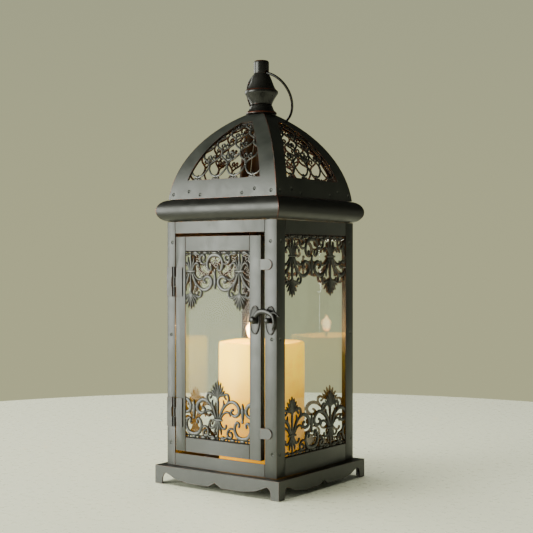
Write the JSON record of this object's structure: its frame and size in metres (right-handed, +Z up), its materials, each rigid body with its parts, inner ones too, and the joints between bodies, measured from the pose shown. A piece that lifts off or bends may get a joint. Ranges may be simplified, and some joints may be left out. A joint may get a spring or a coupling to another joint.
{
  "type": "candle lantern",
  "caption": "Square metal-framed glass lantern with a domed pierced roof, finial and ring, latched hinged door, footed base and a pillar candle inside.",
  "frame": {"origin": "centre of the square that the four feet stand on, at the feet's underside", "axes": "+Z up along the body and the finial; -Y is the door's side, +X the right side seen from the door"},
  "size_m": [0.124, 0.124, 0.347],
  "materials": {
    "black_paint": "satin charcoal-black paint with red-brown rub-through on edges",
    "rubbed_bronze": "oil-rubbed bronze on stamped relief",
    "steel": "plain darkened steel",
    "glass": "clear 2 mm sheet glass",
    "wax": "translucent ivory paraffin wax",
    "wick": "charred braided cotton"
  },
  "bodies": {
    "root": {"base_tray": "black_paint", "post_front_left": "black_paint", "post_front_right": "black_paint", "post_back_left": "black_paint", "post_back_right": "black_paint", "rail_front_bottom": "black_paint", "rail_front_top": "black_paint", "rail_right_bottom": "black_paint", "rail_right_top": "black_paint", "rail_back_bottom": "black_paint", "rail_back_top": "black_paint", "rail_left_bottom": "black_paint", "rail_left_top": "black_paint", "cornice_front": "black_paint", "cornice_right": "black_paint", "cornice_back": "black_paint", "cornice_left": "black_paint", "dome_gore_front": "black_paint", "dome_gore_right": "black_paint", "dome_gore_back": "black_paint", "dome_gore_left": "black_paint", "finial_collar": "black_paint", "finial": "black_paint", "hinge_upper_post_leaf": "black_paint", "hinge_lower_post_leaf": "black_paint", "latch_plate_post": "black_paint", "filigree_right_top": "rubbed_bronze", "filigree_right_bottom": "rubbed_bronze", "filigree_back_top": "rubbed_bronze", "filigree_back_bottom": "rubbed_bronze", "filigree_left_top": "rubbed_bronze", "filigree_left_bottom": "rubbed_bronze", "dome_grille_front": "rubbed_bronze", "dome_grille_right": "rubbed_bronze", "dome_grille_back": "rubbed_bronze", "dome_grille_left": "rubbed_bronze", "hinge_upper_pin": "steel", "hinge_lower_pin": "steel", "dome_crown_plate": "steel", "finial_nut": "steel", "glass_right": "glass", "glass_back": "glass", "glass_left": "glass"},
    "door": {"door_stile_hinge": "black_paint", "door_stile_latch": "black_paint", "door_rail_top": "black_paint", "door_rail_bottom": "black_paint", "door_glass": "glass", "door_filigree_top": "rubbed_bronze", "door_filigree_bottom": "rubbed_bronze", "hinge_upper_door_leaf": "black_paint", "hinge_lower_door_leaf": "black_paint", "door_stop_upper": "black_paint", "door_stop_lower": "black_paint", "latch_plate_door": "black_paint"},
    "latch_hook": {"latch_hook": "black_paint"},
    "ring": {"ring_handle": "black_paint"},
    "candle": {"candle_pillar": "wax", "candle_wick": "wick"}
  },
  "joints": [
    {"name": "door_hinge", "type": "hinge", "parent": "root", "child": "door", "pos_m": [-0.0478, -0.0541, 0.1139], "axis": [0, 0, -1], "range_deg": [0, 100]},
    {"name": "latch_pivot", "type": "hinge", "parent": "door", "child": "latch_hook", "pos_m": [0.0346, -0.0564, 0.1354], "axis": [0, -1, 0], "range_deg": [0, 100]},
    {"name": "ring_swing", "type": "hinge", "parent": "root", "child": "ring", "pos_m": [0, 0, 0.3364], "axis": [0.9962, -0.0872, 0], "range_deg": [0, 300]},
    {"name": "candle_lift", "type": "slide", "parent": "root", "child": "candle", "axis": [0, 0, 1], "range_m": [0, 0.06]}
  ]
}
